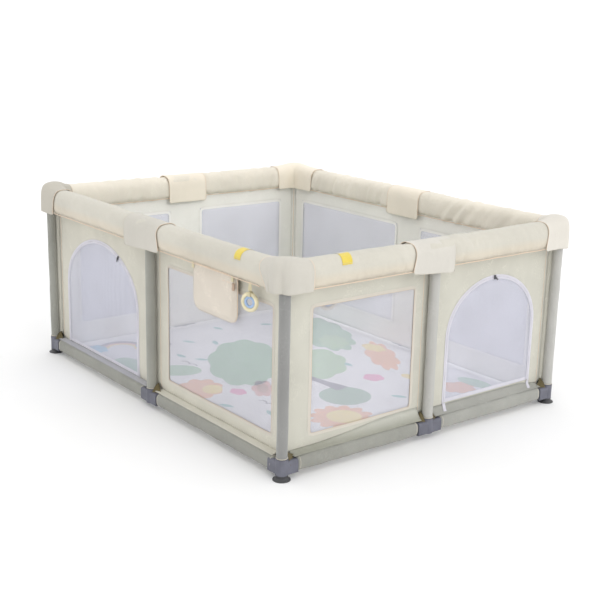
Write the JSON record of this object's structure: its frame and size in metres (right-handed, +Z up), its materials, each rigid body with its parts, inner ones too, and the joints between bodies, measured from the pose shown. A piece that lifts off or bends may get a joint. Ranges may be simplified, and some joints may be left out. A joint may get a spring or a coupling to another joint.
{
  "type": "fabric playpen",
  "caption": "Rectangular fabric playpen with padded top rails, mesh windows, arched zip doors, pull-up rings, a storage bag and a printed mat.",
  "frame": {"origin": "on the floor at the middle of the footprint", "axes": "+X along the long sides, +Y from the front long side to the back one, +Z up"},
  "size_m": [1.524, 1.224, 0.64],
  "materials": {
    "cream_fabric": "matte",
    "wall_fabric": "matte",
    "rail_fabric": "matte",
    "mesh_fabric": "matte",
    "base_plastic": "satin",
    "cup_rubber": "matte",
    "steel": "satin",
    "yellow_webbing": "matte",
    "ring_plastic": "gloss",
    "slider_metal": "satin",
    "bag_fabric": "matte",
    "mat_foam": "matte"
  },
  "bodies": {
    "pen": {"base_connector_front_left": "base_plastic", "post_front_left": "steel", "post_cap_front_left": "cream_fabric", "base_connector_front_right": "base_plastic", "post_front_right": "steel", "post_cap_front_right": "cream_fabric", "base_connector_back_right": "base_plastic", "post_back_right": "steel", "post_cap_back_right": "cream_fabric", "base_connector_back_left": "base_plastic", "post_back_left": "steel", "post_cap_back_left": "cream_fabric", "base_connector_front": "base_plastic", "post_front": "steel", "post_cap_front": "cream_fabric", "base_connector_right": "base_plastic", "post_right": "steel", "post_cap_right": "cream_fabric", "base_connector_back": "base_plastic", "post_back": "steel", "post_cap_back": "cream_fabric", "base_connector_left": "base_plastic", "post_left": "steel", "post_cap_left": "cream_fabric", "suction_cup_front_left": "cup_rubber", "suction_cup_front_right": "cup_rubber", "suction_cup_back_right": "cup_rubber", "suction_cup_back_left": "cup_rubber", "bottom_rail_front_1": "rail_fabric", "bottom_rail_front_2": "rail_fabric", "top_rail_pad_front": "cream_fabric", "wall_front": "wall_fabric", "window_mesh_front": "mesh_fabric", "bottom_rail_right_1": "rail_fabric", "bottom_rail_right_2": "rail_fabric", "top_rail_pad_right": "cream_fabric", "wall_right": "wall_fabric", "window_mesh_right": "mesh_fabric", "bottom_rail_back_1": "rail_fabric", "bottom_rail_back_2": "rail_fabric", "top_rail_pad_back": "cream_fabric", "wall_back": "wall_fabric", "window_mesh_back": "mesh_fabric", "bottom_rail_left_1": "rail_fabric", "bottom_rail_left_2": "rail_fabric", "top_rail_pad_left": "cream_fabric", "wall_left": "wall_fabric", "window_mesh_left": "mesh_fabric", "pull_strap_front": "yellow_webbing", "pull_strap_right": "yellow_webbing", "bottom_tube_frame": "steel", "top_tube_frame": "steel", "play_mat": "mat_foam"},
    "door_front": {"door_front": "mesh_fabric"},
    "slider_front": {"zip_slider_front": "slider_metal"},
    "door_right": {"door_right": "mesh_fabric"},
    "slider_right": {"zip_slider_right": "slider_metal"},
    "ring_front": {"pull_ring_front": "ring_plastic"},
    "ring_right": {"pull_ring_right": "ring_plastic"},
    "bag": {"storage_bag": "bag_fabric"}
  },
  "joints": [
    {"name": "door_front_open", "type": "hinge", "parent": "pen", "child": "door_front", "pos_m": [-0.378, -0.5495, 0.0656], "axis": [1, 0, 0], "range_deg": [0, 85]},
    {"name": "slider_front_run", "type": "hinge", "parent": "door_front", "child": "slider_front", "pos_m": [-0.378, -0.5508, 0.17758], "axis": [0, -1, 0], "range_deg": [-15, 65]},
    {"name": "door_right_open", "type": "hinge", "parent": "pen", "child": "door_right", "pos_m": [0.6995, 0.288, 0.0896], "axis": [0, 1, 0], "range_deg": [0, 100]},
    {"name": "slider_right_run", "type": "hinge", "parent": "door_right", "child": "slider_right", "pos_m": [0.7008, 0.288, 0.25316], "axis": [1, 0, 0], "range_deg": [-40, 40]},
    {"name": "ring_front_swing", "type": "hinge", "parent": "pen", "child": "ring_front", "pos_m": [0.572, -0.582, 0.514], "axis": [-0.9397, -0.342, 0], "range_deg": [-8, 80]},
    {"name": "ring_right_swing", "type": "hinge", "parent": "pen", "child": "ring_right", "pos_m": [0.678, -0.384, 0.514], "axis": [0.342, 0.9397, 0], "range_deg": [-8, 80]},
    {"name": "bag_swing", "type": "hinge", "parent": "pen", "child": "bag", "pos_m": [0.3695, -0.575, 0.5475], "axis": [-1, 0, 0], "range_deg": [0, 35]}
  ]
}
